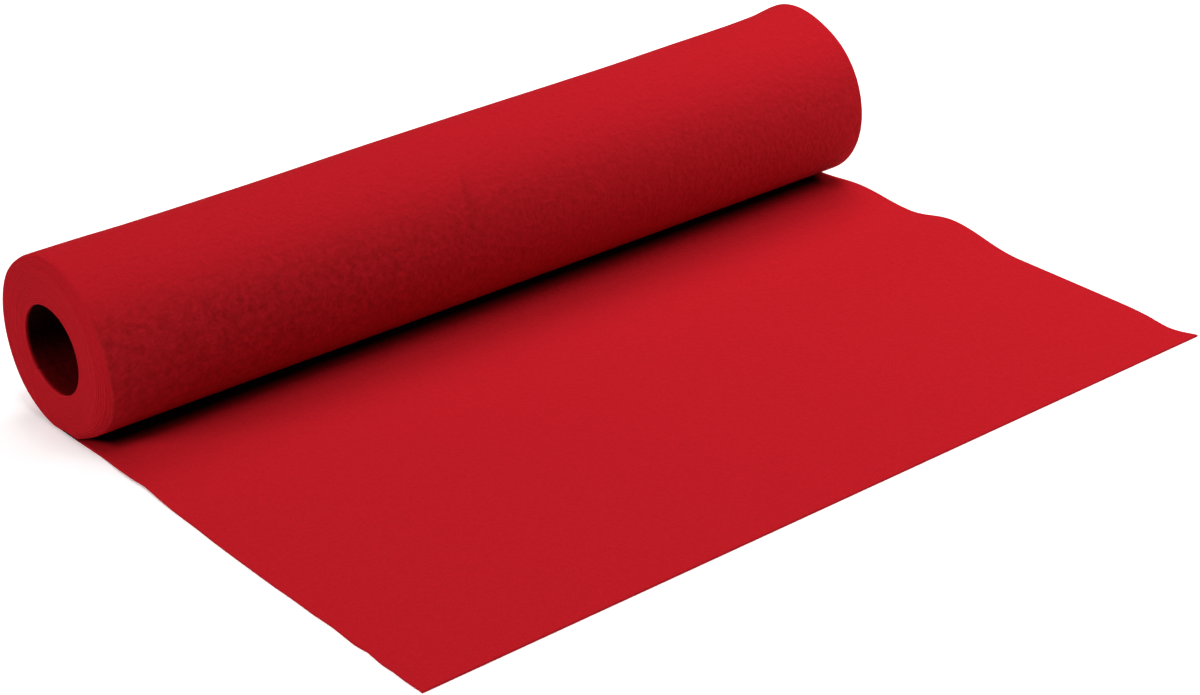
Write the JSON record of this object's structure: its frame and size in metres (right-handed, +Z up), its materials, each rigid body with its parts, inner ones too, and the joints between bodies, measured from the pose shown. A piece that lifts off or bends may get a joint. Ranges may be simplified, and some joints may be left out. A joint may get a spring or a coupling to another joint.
{
  "type": "roll of felt",
  "caption": "Roll of red craft felt lying on its side, wound without a core round an open hole, with its loose end laid out flat in front of it.",
  "frame": {"origin": "middle of the base: the middle of the bounding box in X and Y, on the surface that the roll lies on", "axes": "+X along the roll's axis toward the end where the last turns have sprung open, -Y the way the loose end runs out, +Z up"},
  "size_m": [0.4532, 0.3116, 0.089],
  "materials": {
    "felt": "matt pressed wool-like felt, faintly mottled"
  },
  "bodies": {
    "root": {"felt": "felt"}
  },
  "joints": []
}
